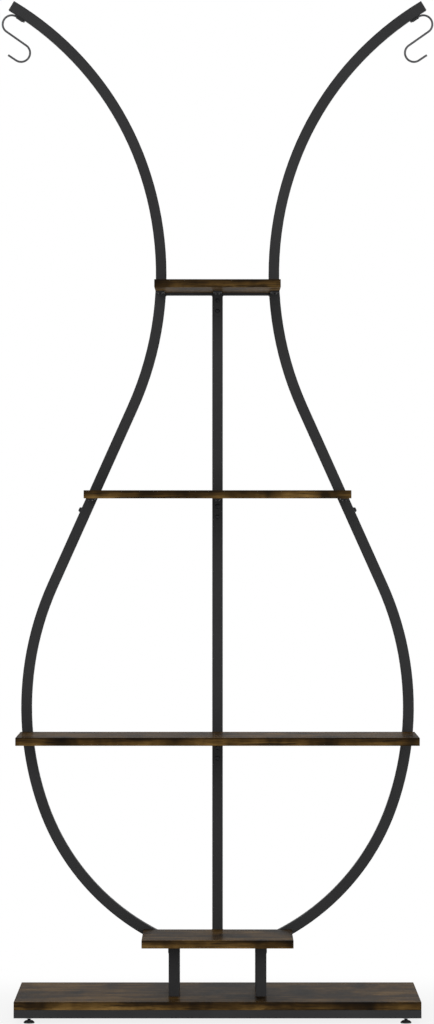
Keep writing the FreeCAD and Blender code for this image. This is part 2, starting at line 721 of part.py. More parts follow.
def pedestal():
    """Make the posts, the rails under the lower shelf, and the bolts that hold the posts down."""
    front_length = LOWER_SHELF_BOTTOM - BASE_TOP
    rear_length = BOTTOM_BAR_Z - TUBE_HALF - BASE_TOP
    for name, sx, sy in CORNERS:
        post = straight_tube(f"{name}_post", rear_length if sy > 0 else front_length)
        place(post, S.post_half_spacing * sx, S.post_half_pitch * sy, BASE_TOP)
    rail_z = LOWER_SHELF_BOTTOM - TUBE_HALF
    for name, sx in (("right", 1), ("left", -1)):
        rail = straight_tube(f"{name}_shelf_rail", S.post_half_pitch * 2 - S.tube_size, both_ways=True)
        holes = [(0, S.shelf_rail_screw_half), (0, -S.shelf_rail_screw_half)]
        drill(rail, "XZ_Plane", holes, SCREW_HOLE)
        place(rail, S.post_half_spacing * sx, 0, rail_z, ALONG_Y)
    screw_length = S.tube_size + S.screw_bite
    screw = fastener("rail_screw", S.screw_head_radius, S.screw_head_height, S.screw_radius, screw_length)
    screw_z = LOWER_SHELF_BOTTOM - S.tube_size
    spots = [(S.post_half_spacing * sx, S.shelf_rail_screw_half * sy, screw_z) for _, sx, sy in CORNERS]
    group("lower_shelf_screws", screw, spots)
    plate = new_body("nut_plate")
    sketch = new_sketch(plate, "XY_Plane")
    rounded_square(sketch, INNER_SIDE, INNER_CORNER)
    circles(sketch, [(0, 0)], BOLT_THREAD)
    pad(plate, sketch, S.nut_plate_thickness)
    spots = [(S.post_half_spacing * sx, S.post_half_pitch * sy, BASE_TOP) for _, sx, sy in CORNERS]
    group("post_nut_plates", plate, spots)
    length = S.rail_height + S.board_thickness + S.nut_plate_thickness
    bolt = fastener("post_bolt", S.bolt_head_radius, S.bolt_head_height, S.bolt_radius, length)
    spots = [(S.post_half_spacing * sx, S.post_half_pitch * sy, S.base_clearance) for _, sx, sy in CORNERS]
    group("post_bolts", bolt, spots)


# Base frame and feet

def rail_body(label, half_length):
    """Make a length of the base frame's flat tube along the body's Z axis."""
    body = new_body(label)
    sketch = new_sketch(body, "XY_Plane")
    rectangle(sketch, S.rail_width, S.rail_height)
    rectangle(sketch, S.rail_width - S.rail_wall * 2, S.rail_height - S.rail_wall * 2)
    pad(body, sketch, half_length * 2, both_ways=True)
    return keep(body, label)


def base_frame():
    """Make the mitred frame under the base board and the cross rails under the posts."""
    rail_z = S.base_clearance + S.rail_height / 2
    half_width, half_depth = S.base_width / 2, S.base_depth / 2
    front = rail_body("front_base_rail", half_width)
    mitre(front, S.rail_width, half_width, half_width - S.rail_width)
    drill(front, "XZ_Plane", [(0, x) for x in BASE_SCREW_X], SCREW_HOLE)
    drill(front, "XZ_Plane", [(0, FOOT_X), (0, -FOOT_X)], INSERT_HOLE)
    place(front, 0, -RAIL_CENTRE_Y, rail_z, ALONG_X)
    mirrored(front, "rear_base_rail", Y_AXIS)
    right = rail_body("right_base_rail", half_depth)
    mitre(right, S.rail_width, half_depth, half_depth - S.rail_width)
    place(right, RAIL_CENTRE_X, 0, rail_z, ALONG_Y)
    mirrored(right, "left_base_rail")
    cross = rail_body("right_cross_rail", half_depth - S.rail_width)
    drill(cross, "XZ_Plane", [(0, S.post_half_pitch), (0, -S.post_half_pitch)], BOLT_HOLE)
    place(cross, S.post_half_spacing, 0, rail_z, ALONG_Y)
    mirrored(cross, "left_cross_rail")
    length = S.rail_height + S.screw_bite
    screw = fastener("base_screw", S.screw_head_radius, S.low_head_height, S.screw_radius, length)
    spots = [(x, RAIL_CENTRE_Y * sy, S.base_clearance) for x in BASE_SCREW_X for sy in (-1, 1)]
    group("base_screws", screw, spots)


def foot_pad(label):
    """Make a foot pad with the socket that its stud turns in."""
    body = new_body(label)
    neck = STUD_BORE + S.socket_wall
    corners = [(0, 0), (S.foot_radius, 0), (S.foot_radius, S.foot_rim), (neck, S.foot_height)]
    corners += [(STUD_BORE, S.foot_height), (STUD_BORE, S.socket_floor), (0, S.socket_floor)]
    revolve(body, corners)
    return keep(body, label)


def foot_stud(label):
    """Make a levelling stud with two flats for a spanner just above the pad."""
    body = new_body(label)
    sketch = new_sketch(body, "XY_Plane")
    circles(sketch, [(0, 0)], S.stud_radius)
    pad(body, sketch, BASE_BOTTOM - S.socket_floor)
    inner, outer = S.stud_radius - S.stud_flat_depth, S.stud_radius + OVERCUT
    low = S.foot_height - S.socket_floor
    high = low + S.stud_flat_height
    flats = new_sketch(body, "XZ_Plane")
    polygon(flats, [(inner, low), (outer, low), (outer, high), (inner, high)])
    polygon(flats, [(-inner, low), (-inner, high), (-outer, high), (-outer, low)])
    cut(body, flats)
    return keep(body, label)


def levelling_feet():
    """Make the four levelling feet and the threaded inserts that hold them."""
    for name, sx, sy in CORNERS:
        place(foot_pad(f"{name}_foot_pad"), FOOT_X * sx, FOOT_Y * sy, 0)
        place(foot_stud(f"{name}_foot_stud"), FOOT_X * sx, FOOT_Y * sy, S.socket_floor)
    insert = new_body("foot_insert")
    flange = INSERT_RADIUS + S.insert_ledge
    corners = [(STUD_BORE, -S.insert_flange), (flange, -S.insert_flange), (flange, 0)]
    corners += [(INSERT_RADIUS, 0), (INSERT_RADIUS, S.insert_length), (STUD_BORE, S.insert_length)]
    revolve(insert, corners)
    group("foot_inserts", insert, [(FOOT_X * sx, FOOT_Y * sy, S.base_clearance) for _, sx, sy in CORNERS])


# Fasteners

def fastener(name, head_radius, head_height, shank_radius, length):
    """Make a pan-head screw with a hexagon socket; its head's seat is the XY plane and it points along +Z."""
    body = new_body(name)
    rim, crown = head_height * -0.4, head_radius * 0.7
    point = length - shank_radius
    corners = [(0, -head_height), (crown, -head_height), (head_radius, rim), (head_radius, 0)]
    corners += [(shank_radius, 0), (shank_radius, point), (shank_radius / 2, length), (0, length)]
    revolve(body, corners)
    socket = new_sketch(body, "XY_Plane", -head_height)
    angles = [math.radians(60 * i) for i in range(6)]
    across = head_radius * 0.45
    polygon(socket, [(across * math.cos(a), across * math.sin(a)) for a in angles])
    cut(body, socket, depth=head_height * 0.6, forward=True)
    return body


# S-hooks and saddles

def hooks():
    """Make the saddles under the tips and the S-hooks that swing in them."""
    slope = side.tip_slope - S.saddle_setback.number / side.flare_radius
    # The saddle is straight, so it meets the hollow underside of the tube at its two ends.
    underside = math.sqrt((side.flare_radius - TUBE_HALF.number) ** 2 - (S.saddle_length.number / 2) ** 2)
    middle = side.flare_point(slope, underside - SADDLE_BORE.number)
    saddle = new_body("right_hook_saddle")
    sketch = new_sketch(saddle, "YZ_Plane")
    saddle_outline(sketch)
    pad(saddle, sketch, S.saddle_length, both_ways=True)
    place(saddle, middle.x, FRAME_Y, middle.z, Rotation(Y_AXIS, math.degrees(slope) - 90))
    mirrored(keep(saddle, "right_hook_saddle"), "left_hook_saddle")
    # The hook is a tail, a loop, a diagonal, the opposite loop and a tail, in the frame's plane.
    # The upper tail lies in the saddle on the swing axis, and the loop bends off it just past the saddle.
    radius = S.hook_loop_radius
    crossing = math.degrees(math.atan2(2 * radius.number, S.hook_diagonal.number))
    turn = 180 - math.degrees(slope) + S.hook_lean.number + crossing
    hook = new_body("right_s_hook")
    section = new_sketch(hook, "XY_Plane")
    circles(section, [(0, 0)], S.hook_wire / 2)
    steps = [(S.hook_tail,), (radius, -turn), (S.hook_diagonal,), (radius, turn), (S.hook_tail,)]
    sweep(hook, section, steps)
    swing_axis = Vector(math.sin(slope), 0, math.cos(slope))
    tail_end = middle + swing_axis * (S.saddle_length / 2 + S.hook_play - S.hook_tail).number
    place(hook, tail_end.x, FRAME_Y, tail_end.z, Rotation(Y_AXIS, math.degrees(slope)))
    mirrored(keep(hook, "right_s_hook"), "left_s_hook")
    print("right hook swings about", (middle.x, FRAME_Y.number, middle.z), "along", tuple(swing_axis))


def saddle_outline(sketch):
    """Draw a U that opens to the tube: half rounds about the wire and straight legs up to the tube."""
    legs = []
    for radius in (SADDLE_BORE, SADDLE_BORE + S.saddle_wall):
        r = radius.number
        circle = Part.Circle(Vector(), Z_AXIS, r)
        bend = sketch.addGeometry(Part.ArcOfCircle(circle, math.pi, 2 * math.pi), False)
        constrain(sketch, "Coincident", bend, 3, *ORIGIN_POINT)
        dimension(sketch, "Radius", bend, radius)
        for end, x in ((1, -r), (2, r)):
            foot, top = Vector(x, 0), Vector(x, SADDLE_BORE.number)
            leg = sketch.addGeometry(Part.LineSegment(foot, top), False)
            constrain(sketch, "Tangent", bend, end, leg, 1)
            constrain(sketch, "Vertical", leg)
            legs.append((leg, top))
    for (inner, inner_top), (outer, outer_top) in zip(legs[:2], legs[2:]):
        rim = sketch.addGeometry(Part.LineSegment(inner_top, outer_top), False)
        constrain(sketch, "Coincident", inner, 2, rim, 1)
        constrain(sketch, "Coincident", outer, 2, rim, 2)
        constrain(sketch, "Horizontal", rim)
        dimension(sketch, "DistanceY", *ORIGIN_POINT, rim, 1, SADDLE_BORE)


def check_model():
    """Stop if any object failed to compute or any sub-part is empty or invalid."""
    for thing in doc.Objects:
        if "Invalid" in thing.State or "Error" in thing.State:
            raise RuntimeError(f"{thing.Label} failed: {thing.State}")
    for label, thing in nodes.items():
        if thing.Shape.isNull() or not thing.Shape.isValid() or not thing.Shape.Solids:
            raise RuntimeError(f"{label} has no valid solid")


upper_side_tube()
lower_side_tube()
side_joints()
tip_caps()
centre_post()
crossbars()
base_board()
shelves()
pedestal()
base_frame()
levelling_feet()
hooks()
doc.recompute()
check_model()
os.makedirs("parts", exist_ok=True)
for label, thing in nodes.items():
    thing.Shape.exportStep(f"parts/{label}.step")
    print(f"{label}: {len(thing.Shape.Solids)} solid(s), {thing.Shape.Volume / 1000:.2f} cm3")
print(len(nodes), "nodes")
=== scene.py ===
import logging
import math
from dataclasses import dataclass, field
from enum import Enum
from typing import ClassVar

import bmesh
import bpy
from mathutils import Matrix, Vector


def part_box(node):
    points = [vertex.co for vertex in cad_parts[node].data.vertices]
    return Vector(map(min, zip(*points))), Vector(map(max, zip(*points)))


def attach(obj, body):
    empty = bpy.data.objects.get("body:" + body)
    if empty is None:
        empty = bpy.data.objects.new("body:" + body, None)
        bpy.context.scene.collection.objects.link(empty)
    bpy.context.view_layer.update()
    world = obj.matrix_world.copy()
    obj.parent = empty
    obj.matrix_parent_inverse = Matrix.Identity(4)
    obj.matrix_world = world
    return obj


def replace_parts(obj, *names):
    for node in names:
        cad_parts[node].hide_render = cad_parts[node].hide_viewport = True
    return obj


# Looks of a tiered plant stand: powder-coated square tubes bent to the outline of a vase, shelf boards
# in a rustic wood-grain foil, a wide base on levelling feet and a swinging S-hook at each tip.
# Sizes of the stand are millimetres in the frame of the CAD model: +Z up, front towards -Y. Those of
# the studio are metres.

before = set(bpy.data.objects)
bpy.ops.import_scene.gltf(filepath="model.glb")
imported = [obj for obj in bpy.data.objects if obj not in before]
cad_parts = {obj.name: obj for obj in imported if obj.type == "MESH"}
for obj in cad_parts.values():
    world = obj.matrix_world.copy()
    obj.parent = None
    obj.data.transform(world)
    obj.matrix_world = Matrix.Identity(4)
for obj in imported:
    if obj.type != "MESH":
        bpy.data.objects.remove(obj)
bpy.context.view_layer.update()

MM = 0.001
TUBE_HALF = 10.0
# A Mix node has sockets of its own for each type of data.
SHARE, VECTOR_A, VECTOR_B, COLOUR_A, COLOUR_B = 0, 4, 5, 6, 7
MIXED_VECTOR, MIXED_COLOUR = 1, 2
Stops = tuple[tuple[float, str], ...]
LOG = logging.getLogger("plant_stand")


class Side(Enum):
    """Left or right half of the stand, with the sign of its X."""

    LEFT = -1
    RIGHT = 1

    @property
    def label(self) -> str:
        """Name of the side in the CAD nodes."""
        return self.name.lower()


class Corner(Enum):
    """Corner of the base, with the signs of its X and Y."""

    FRONT_RIGHT = (1, -1)
    FRONT_LEFT = (-1, -1)
    REAR_RIGHT = (1, 1)
    REAR_LEFT = (-1, 1)

    @property
    def label(self) -> str:
        """Name of the corner in the CAD nodes and bodies."""
        return self.name.lower()


class Tier(Enum):
    """Shelves that hang on the frame, each by a bracket on the post and a tab on each side tube."""

    NECK = "neck"
    MID = "mid"
    BELLY = "belly"


class Slot(Enum):
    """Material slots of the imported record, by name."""

    FRAME = "black_frame"
    HARDWARE = "black_hardware"


def linear(colour: str) -> tuple[float, float, float, float]:
    """Turn an sRGB hex colour into linear light.

    Args:
        colour: Colour as #rrggbb.

    Returns:
        Linear red, green, blue and an alpha of 1.
    """
    shares = [int(colour[i:i + 2], 16) / 255 for i in (1, 3, 5)]
    # The sRGB curve is straight near black and a power above.
    red, green, blue = (s / 12.92 if s <= 0.04045 else ((s + 0.055) / 1.055) ** 2.4 for s in shares)
    return red, green, blue, 1.0


def per_metre(size_mm: float) -> float:
    """Return how often a pattern of a size in millimetres repeats in a metre."""
    return 1000 / size_mm


def add_node(
    tree: bpy.types.NodeTree, kind: str, links: dict, stops: Stops = (), **settings: object
) -> bpy.types.Node:
    """Add a shader node with its settings, values and links.

    Args:
        tree: Node tree that takes the node.
        kind: Node type without its ShaderNode prefix.
        links: Input name or index to an output socket to link, or to a plain value.
        stops: Position and hex colour of each stop of a colour ramp, in rising order.
        settings: Properties of the node itself.

    Returns:
        The new node.
    """
    node = tree.nodes.new(f"ShaderNode{kind}")
    for name, value in settings.items():
        setattr(node, name, value)
    for name, value in links.items():
        if isinstance(value, bpy.types.NodeSocket):
            tree.links.new(value, node.inputs[name])
        else:
            node.inputs[name].default_value = value
    if stops:
        # A new ramp has two stops, which become the first and the last.
        ramp = node.color_ramp.elements
        ramp[0].position, ramp[1].position = stops[0][0], stops[-1][0]
        for position, _ in stops[1:-1]:
            ramp.new(position)
        for stop, (_, colour) in zip(ramp, stops):
            stop.color = linear(colour)
    return node


def empty_material(name: str) -> bpy.types.Material:
    """Make a material with an empty node tree.

    Args:
        name: Name of the material.

    Returns:
        The new material.
    """
    material = bpy.data.materials.new(name)
    material.use_nodes = True
    material.node_tree.nodes.clear()
    return material


def dress(finish: bpy.types.Material, *nodes: str) -> None:
    """Put a finish on every material slot of some CAD nodes.

    Args:
        finish: Material that they get.
        nodes: Names of the CAD nodes.
    """
    for node in nodes:
        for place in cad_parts[node].material_slots:
            place.material = finish
        LOG.info("%s: %s", node, finish.name)


def new_piece(
    name: str, mesh: bmesh.types.BMesh, body: str, finish: bpy.types.Material
) -> bpy.types.Object:
    """Turn a finished mesh into a piece that rides on a CAD body.

    Args:
        name: Name of the piece.
        mesh: Its faces, in metres in the row frame; freed here.
        body: CAD body that it rides on.
        finish: Its material.

    Returns:
        The new piece.
    """
    bmesh.ops.recalc_face_normals(mesh, faces=mesh.faces)
    data = bpy.data.meshes.new(name)
    mesh.to_mesh(data)
    mesh.free()
    data.shade_smooth()
    data.materials.append(finish)
    piece = bpy.data.objects.new(name, data)
    bpy.context.scene.collection.objects.link(piece)
    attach(piece, body)
    LOG.info("%s: %d faces on %s", name, len(data.polygons), body)
    return piece


def skin(mesh: bmesh.types.BMesh, rings: list[list[Vector]]) -> None:
    """Close a row of rings of points into one watertight skin.

    Args:
        mesh: Mesh that takes the faces.
        rings: Rings with the same number of points each, from one end to the other, in millimetres.
    """
    rows = [[mesh.verts.new(point * MM) for point in ring] for ring in rings]
    count = len(rows[0])
    for low, high in zip(rows, rows[1:]):
        for i in range(count):
            mesh.faces.new((low[i], low[i - 1], high[i - 1], high[i]))
    mesh.faces.new(rows[0])
    mesh.faces.new(reversed(rows[-1]))


# Finishes

@dataclass(frozen=True)
class Finish:
    """A finish of the stand, which builds its material out of nodes."""

    title: ClassVar[str]

    def surface(self, tree: bpy.types.NodeTree) -> bpy.types.NodeSocket:
        """Add the nodes of the surface to a tree and return the shader's output."""
        raise NotImplementedError

    def make(self) -> bpy.types.Material:
        """Build the material.

        Returns:
            The material, named for what it is and how its surface was made.
        """
        material = empty_material(self.title)
        tree = material.node_tree
        add_node(tree, "OutputMaterial", {"Surface": self.surface(tree)})
        return material


@dataclass(frozen=True)
class PowderCoatedSteel(Finish):
    """Mild steel tube, shot-blasted and powder-coated in satin black."""

    # To the eye: the baked powder has flowed out into a faint orange peel, with broad soft highlights on
    # the flats and no mirror. The black lifts a little where the coat is thin.
    title: ClassVar[str] = "satin_black_powder_coated_steel"
    coats: Stops = ((0.35, "#262627"), (0.70, "#2d2d2e"))
    cloud_mm: float = 180.0
    # Orange peel is about 0.6 mm across. It is drawn at 1.5 mm so that it shows.
    peel_mm: float = 1.5
    peel_depth_mm: float = 0.05
    roughness: tuple[float, float] = (0.50, 0.60)

    def surface(self, tree: bpy.types.NodeTree) -> bpy.types.NodeSocket:
        """Add the clouded coat and its orange peel.

        Args:
            tree: Node tree of the material.

        Returns:
            Output of the shader.
        """
        place = add_node(tree, "TexCoord", {}).outputs["Object"]
        cloud = add_node(tree, "TexNoise", {
            "Vector": place, "Scale": per_metre(self.cloud_mm), "Detail": 3.0,
        })
        peel = add_node(tree, "TexNoise", {
            "Vector": place, "Scale": per_metre(self.peel_mm), "Detail": 1.0,
        })
        colour = add_node(tree, "ValToRGB", {"Fac": cloud.outputs[0]}, self.coats)
        smooth, rough = self.roughness
        gloss = add_node(tree, "MapRange", {"Value": peel.outputs[0], "To Min": smooth, "To Max": rough})
        bump = add_node(tree, "Bump", {
            "Height": peel.outputs[0], "Strength": 0.12, "Distance": self.peel_depth_mm * MM,
        })
        return add_node(tree, "BsdfPrincipled", {
            "Base Color": colour.outputs[0], "Roughness": gloss.outputs[0], "Normal": bump.outputs[0],
            "IOR": 1.5, "Specular IOR Level": 0.12,
        }).outputs[0]


@dataclass(frozen=True)
class WoodGrainFoil(Finish):
    """Particle board wrapped in a printed, embossed and lacquered wood-grain foil, rustic brown."""

    # To the eye: cloudy patches and stains from umber to amber, near-black charred streaks and fine pores
    # along the board. The edge bands run from amber below to nearly black at the top. The print is matt
    # under a thin gloss lacquer, which at a low angle mirrors the white surroundings and greys the faces,
    # except where the post and the tubes stand in the mirror.
    board: str
    shift_mm: tuple[float, float, float]
    # Length of each layer of the print along the grain, and its width across.
    stain_mm: tuple[float, float] = (75.0, 120.0)
    patch_mm: tuple[float, float] = (170.0, 45.0)
    streak_mm: tuple[float, float] = (130.0, 7.0)
    # Real grain lines are about 1 mm apart. They are drawn at 3.2 mm so that they show.
    line_mm: tuple[float, float] = (110.0, 3.2)
    # Real pores are about 0.2 mm wide. They are drawn at 0.8 mm so that they show.
    pore_mm: tuple[float, float] = (11.0, 0.8)
    # The grain drifts aside about six times in a metre.
    drift_mm: float = 1000 / 6
    meander_mm: float = 26.0
    meander_rise: float = 0.25
    # Tones of the print by the value of its patches, to which the lines add a share.
    line_share: float = 0.45
    tones: Stops = (
        (0.46, "#1a130b"), (0.60, "#332613"), (0.72, "#4a391f"), (0.86, "#604c2c"), (1.00, "#7a633e"),
    )
    # Tints that the stains multiply the print by, from dark to clear.
    stains: Stops = ((0.34, "#645f55"), (0.48, "#c8bca2"), (0.62, "#fff4da"))
    # Charred streaks and pores: from where to where in their layers they set in, and how dark they get. The
    # char on the edge bands is real print, deepened by painted shade so that the upright faces stay darker
    # than the tops.
    char: str = "#120c06"
    char_range: tuple[float, float] = (0.50, 0.66)
    top_char: float = 0.75
    # The bands' char depth beyond the tops' is painted shade over the real char.
    band_char_and_painted_shade: float = 0.82
    pore_range: tuple[float, float] = (0.58, 0.72)
    pore_char: float = 0.6
    # The edge bands darken from below to above, most of all where they are pressed round the edge.
    band_shade: float = 0.16
    press_mm: float = 3.0
    edge_mm: float = 0.4
    press_char: float = 0.8
    # The emboss raises the lines, which are rougher, and sinks the pores.
    line_range: tuple[float, float] = (0.3, 0.7)
    roughness: tuple[float, float] = (0.62, 0.74)
    emboss_mm: float = 0.15
    pore_depth: float = 1.2
    # A face with more X than this in its normal is an end of the board.
    end_facing: float = 0.7
    # A face with less Z than the first in its normal counts partly as edge band, and wholly with less
    # than the second. The underside has the tones of the bands too.
    band_facing: tuple[float, float] = (0.8, 0.2)

    @property
    def title(self) -> str:
        """Name of the material on this board."""
        return f"rustic_wood_grain_foil_{self.board}"

    def grain(
        self, tree: bpy.types.NodeTree, place: bpy.types.NodeSocket, facing: bpy.types.NodeSocket
    ) -> bpy.types.NodeSocket:
        """Run the grain along the board, and from front to back on the edge bands of its two ends.

        Args:
            tree: Node tree of the material.
            place: Place on the board.
            facing: X of the face's normal.

        Returns:
            Place along the meandering grain.
        """
        shift = tuple(s * MM for s in self.shift_mm)
        along = add_node(tree, "Mapping", {"Vector": place, "Location": shift}).outputs[0]
        across = add_node(tree, "Mapping", {"Vector": along, "Rotation": (0.0, 0.0, math.pi / 2)})
        sideways = add_node(tree, "Math", {0: facing}, operation="ABSOLUTE")
        is_end = add_node(
            tree, "Math", {0: sideways.outputs[0], 1: self.end_facing}, operation="GREATER_THAN"
        )
        straight = add_node(tree, "Mix", {
            SHARE: is_end.outputs[0], VECTOR_A: along, VECTOR_B: across.outputs[0],
        }, data_type="VECTOR").outputs[MIXED_VECTOR]
        # A slow drift of the coordinates lets the grain meander.
        drift = add_node(tree, "TexNoise", {
            "Vector": straight, "Scale": per_metre(self.drift_mm), "Detail": 2.0,
        })
        swing = add_node(
            tree, "VectorMath", {0: drift.outputs["Color"], 1: (0.5, 0.5, 0.5)}, operation="SUBTRACT"
        )
        sway = (0.0, self.meander_mm * MM, self.meander_rise * self.meander_mm * MM)
        return add_node(
            tree, "VectorMath", {0: swing.outputs[0], 1: sway, 2: straight}, operation="MULTIPLY_ADD"
        ).outputs[0]

    def layers(
        self, tree: bpy.types.NodeTree, grain: bpy.types.NodeSocket
    ) -> dict[str, bpy.types.NodeSocket]:
        """Add the layers of the print, each a noise drawn out along the grain.

        Args:
            tree: Node tree of the material.
            grain: Place along the grain.

        Returns:
            Value of each layer by its name.
        """
        values = {}
        for name, (length, width), detail in (
            ("stain", self.stain_mm, 3.0),
            ("patch", self.patch_mm, 4.0),
            ("streak", self.streak_mm, 5.0),
            ("line", self.line_mm, 3.0),
            ("pore", self.pore_mm, 2.0),
        ):
            scale = (per_metre(length), per_metre(width), per_metre(width))
            run = add_node(tree, "Mapping", {"Vector": grain, "Scale": scale})
            noise = add_node(tree, "TexNoise", {
                "Vector": run.outputs[0], "Scale": 1.0, "Detail": detail, "Roughness": 0.6,
            })
            values[name] = noise.outputs[0]
        return values

    def surface(self, tree: bpy.types.NodeTree) -> bpy.types.NodeSocket:
        """Add the print with its stains, char, pores and edge bands, then its emboss and lacquer.

        Args:
            tree: Node tree of the material.

        Returns:
            Output of the shader.
        """
        source = add_node(tree, "TexCoord", {}).outputs
        facing = add_node(tree, "SeparateXYZ", {"Vector": source["Normal"]}).outputs
        height = add_node(tree, "SeparateXYZ", {"Vector": source["Object"]}).outputs["Z"]
        layers = self.layers(tree, self.grain(tree, source["Object"], facing["X"]))
        low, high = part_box(self.board)

        flat, upright = self.band_facing
        band = add_node(
            tree, "MapRange", {"Value": facing["Z"], "From Min": flat, "From Max": upright}
        ).outputs[0]
        shade = add_node(tree, "MapRange", {
            "Value": height, "From Min": low.z, "From Max": high.z,
            "To Min": self.band_shade, "To Max": -self.band_shade,
        })
        value = add_node(
            tree, "Math", {0: layers["line"], 1: self.line_share, 2: layers["patch"]},
            operation="MULTIPLY_ADD",
        )
        shaded = add_node(
            tree, "Math", {0: shade.outputs[0], 1: band, 2: value.outputs[0]}, operation="MULTIPLY_ADD"
        )
        tone = add_node(tree, "ValToRGB", {"Fac": shaded.outputs[0]}, self.tones)
        stain = add_node(tree, "ValToRGB", {"Fac": layers["stain"]}, self.stains)
        stained = add_node(tree, "Mix", {
            SHARE: 1.0, COLOUR_A: tone.outputs[0], COLOUR_B: stain.outputs[0],
        }, data_type="RGBA", blend_type="MULTIPLY").outputs[MIXED_COLOUR]

        # The print is charred most on the edge bands. Part of that extra char is painted shade, which keeps
        # the bands darker than the tops.
        char = linear(self.char)
        char_and_painted_shade_depth = add_node(tree, "MapRange", {
            "Value": band, "To Min": self.top_char, "To Max": self.band_char_and_painted_shade,
        })
        clear, black = self.char_range
        charred = add_node(tree, "MapRange", {
            "Value": layers["streak"], "From Min": clear, "From Max": black, "To Max": char_and_painted_shade_depth.outputs[0],
        }, interpolation_type="SMOOTHSTEP")
        streaked = add_node(tree, "Mix", {
            SHARE: charred.outputs[0], COLOUR_A: stained, COLOUR_B: char,
        }, data_type="RGBA").outputs[MIXED_COLOUR]
        closed, wide = self.pore_range
        pore = add_node(tree, "MapRange", {
            "Value": layers["pore"], "From Min": closed, "From Max": wide, "To Max": self.pore_char,
        }).outputs[0]
        pored = add_node(tree, "Mix", {
            SHARE: pore, COLOUR_A: streaked, COLOUR_B: char,
        }, data_type="RGBA").outputs[MIXED_COLOUR]

        # The edge band is darkest where it was pressed round the upper edge.
        near_top = add_node(tree, "MapRange", {
            "Value": height, "From Min": high.z - self.press_mm * MM,
            "From Max": high.z - self.edge_mm * MM, "To Max": self.press_char,
        })
        pressed = add_node(tree, "Math", {0: near_top.outputs[0], 1: band}, operation="MULTIPLY")
        banded = add_node(tree, "Mix", {
            SHARE: pressed.outputs[0], COLOUR_A: pored, COLOUR_B: char,
        }, data_type="RGBA").outputs[MIXED_COLOUR]

        thin, thick = self.line_range
        smooth, rough = self.roughness
        gloss = add_node(tree, "MapRange", {
            "Value": layers["line"], "From Min": thin, "From Max": thick, "To Min": smooth, "To Max": rough,
        })
        relief = add_node(
            tree, "Math", {0: pore, 1: -self.pore_depth, 2: layers["line"]}, operation="MULTIPLY_ADD"
        )
        bump = add_node(tree, "Bump", {
            "Height": relief.outputs[0], "Strength": 0.3, "Distance": self.emboss_mm * MM,
        })
        return add_node(tree, "BsdfPrincipled", {
            "Base Color": banded, "Roughness": gloss.outputs[0], "Normal": bump.outputs[0],
            "IOR": 1.5, "Specular IOR Level": 0.01,
            "Coat Weight": 0.08, "Coat Roughness": 0.2, "Coat IOR": 1.5,
        }).outputs[0]


@dataclass(frozen=True)
class LacqueredWire(Finish):
    """Drawn steel wire, bent cold and dipped in black lacquer."""

    # To the eye: glossier than the tubes' powder coat, with a grey mottle where the drawn wire shows
    # through the thin lacquer.
    title: ClassVar[str] = "black_lacquered_drawn_wire"
    lacquers: Stops = ((0.40, "#2b2b2d"), (0.75, "#4c4c4f"))
    # Draw marks are about 0.2 mm across. The mottle is drawn at 0.9 mm so that it shows.
    mark_mm: float = 0.9
    mark_depth_mm: float = 0.04
    roughness: tuple[float, float] = (0.28, 0.42)

    def surface(self, tree: bpy.types.NodeTree) -> bpy.types.NodeSocket:
        """Add the mottled lacquer.

        Args:
            tree: Node tree of the material.

        Returns:
            Output of the shader.
        """
        place = add_node(tree, "TexCoord", {}).outputs["Object"]
        mark = add_node(tree, "TexNoise", {
            "Vector": place, "Scale": per_metre(self.mark_mm), "Detail": 3.0,
        })
        colour = add_node(tree, "ValToRGB", {"Fac": mark.outputs[0]}, self.lacquers)
        smooth, rough = self.roughness
        gloss = add_node(tree, "MapRange", {"Value": mark.outputs[0], "To Min": smooth, "To Max": rough})
        bump = add_node(tree, "Bump", {
            "Height": mark.outputs[0], "Strength": 0.1, "Distance": self.mark_depth_mm * MM,
        })
        return add_node(tree, "BsdfPrincipled", {
            "Base Color": colour.outputs[0], "Roughness": gloss.outputs[0], "Normal": bump.outputs[0],
            "IOR": 1.5, "Specular IOR Level": 0.5,
        }).outputs[0]


@dataclass(frozen=True)
class BlackOxideSteel(Finish):
    """Carbon steel screws, bolts and studs, blackened in a hot oxide bath and oiled."""

    # To the eye: the oxide is thin, so the metal's own dark lustre shows, blotched by the oil.
    title: ClassVar[str] = "black_oxide_carbon_steel"
    oxides: Stops = ((0.35, "#161617"), (0.75, "#3a3a3d"))
    blotch_mm: float = 2.5
    roughness: tuple[float, float] = (0.3, 0.5)

    def surface(self, tree: bpy.types.NodeTree) -> bpy.types.NodeSocket:
        """Add the oxide and the blotches of its oil.

        Args:
            tree: Node tree of the material.

        Returns:
            Output of the shader.
        """
        place = add_node(tree, "TexCoord", {}).outputs["Object"]
        blotch = add_node(tree, "TexNoise", {
            "Vector": place, "Scale": per_metre(self.blotch_mm), "Detail": 4.0,
        })
        colour = add_node(tree, "ValToRGB", {"Fac": blotch.outputs[0]}, self.oxides)
        smooth, rough = self.roughness
        gloss = add_node(tree, "MapRange", {"Value": blotch.outputs[0], "To Min": smooth, "To Max": rough})
        return add_node(tree, "BsdfPrincipled", {
            "Base Color": colour.outputs[0], "Roughness": gloss.outputs[0], "Metallic": 0.9,
        }).outputs[0]


